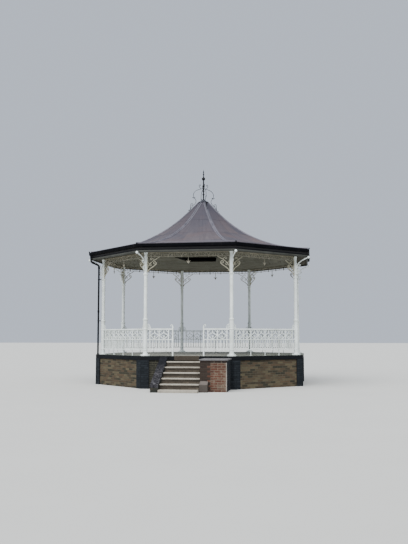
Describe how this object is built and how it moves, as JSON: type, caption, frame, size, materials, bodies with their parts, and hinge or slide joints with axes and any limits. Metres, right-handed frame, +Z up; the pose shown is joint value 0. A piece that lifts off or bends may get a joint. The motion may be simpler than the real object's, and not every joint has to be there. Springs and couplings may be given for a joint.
{
  "type": "bandstand",
  "caption": "Open octagonal park bandstand: brick plinth with steps, cast columns and railings, scroll brackets and a flared roof with a wrought finial.",
  "frame": {"origin": "on the ground at the centre of the octagon, at the underside of the plinth", "axes": "+Z up, the steps and entrance face -Y, +X to the right for someone facing the steps"},
  "size_m": [8.0686, 9.456, 8.151],
  "materials": {
    "white_iron": "white gloss paint on cast iron, weathered",
    "cream_iron": "old cream paint on openwork castings",
    "black_iron": "black paint on wrought iron",
    "dark_gutter": "navy black gloss paint",
    "roof_sheet": "dull brown grey roofing sheet with standing seams",
    "lead": "weathered grey lead",
    "cream_timber": "cream painted boards, worn",
    "grey_timber": "light grey painted moulding",
    "bare_timber": "sawn softwood",
    "dark_masonry": "blue black masonry paint",
    "brick": "weathered brown red brick",
    "concrete": "worn concrete",
    "step_stone": "worn light stone",
    "riser_brick": "dark brown brick",
    "raking_stone": "blue black stone coping",
    "hardcore": "broken brick and stone fill"
  },
  "bodies": {
    "root": {"hardcore_fill": "hardcore", "plinth_walls": "brick", "corner_piers": "dark_masonry", "platform_edge": "dark_masonry", "platform_floor": "concrete", "stair_base": "riser_brick", "step_treads": "step_stone", "left_cheek_wall": "riser_brick", "left_cheek_coping": "raking_stone", "right_block": "brick", "right_block_coping": "step_stone", "right_stub_stone": "step_stone", "column_front_left": "white_iron", "column_front_right": "white_iron", "column_right_front": "white_iron", "column_right_back": "white_iron", "column_back_right": "white_iron", "column_back_left": "white_iron", "column_left_back": "white_iron", "column_left_front": "white_iron", "entrance_railings": "white_iron", "railing_front_right_bay": "white_iron", "railing_right_bay": "white_iron", "railing_back_right_bay": "white_iron", "railing_back_bay": "white_iron", "railing_back_left_bay": "white_iron", "railing_left_bay": "white_iron", "railing_front_left_bay": "white_iron", "spandrel_brackets": "cream_iron", "eaves_brackets": "white_iron", "frieze_panels": "cream_iron", "eaves_beam": "cream_timber", "ceiling_boards": "cream_timber", "ceiling_frame": "cream_timber", "fascia_board": "dark_gutter", "fascia_moulding": "grey_timber", "gutter": "dark_gutter", "gutter_knobs": "black_iron", "hip_rafters": "bare_timber", "roof_covering": "roof_sheet", "hip_rolls": "lead", "roof_cap": "lead", "finial": "black_iron", "finial_scrolls": "black_iron", "rainwater_pipe": "dark_gutter"}
  },
  "joints": []
}
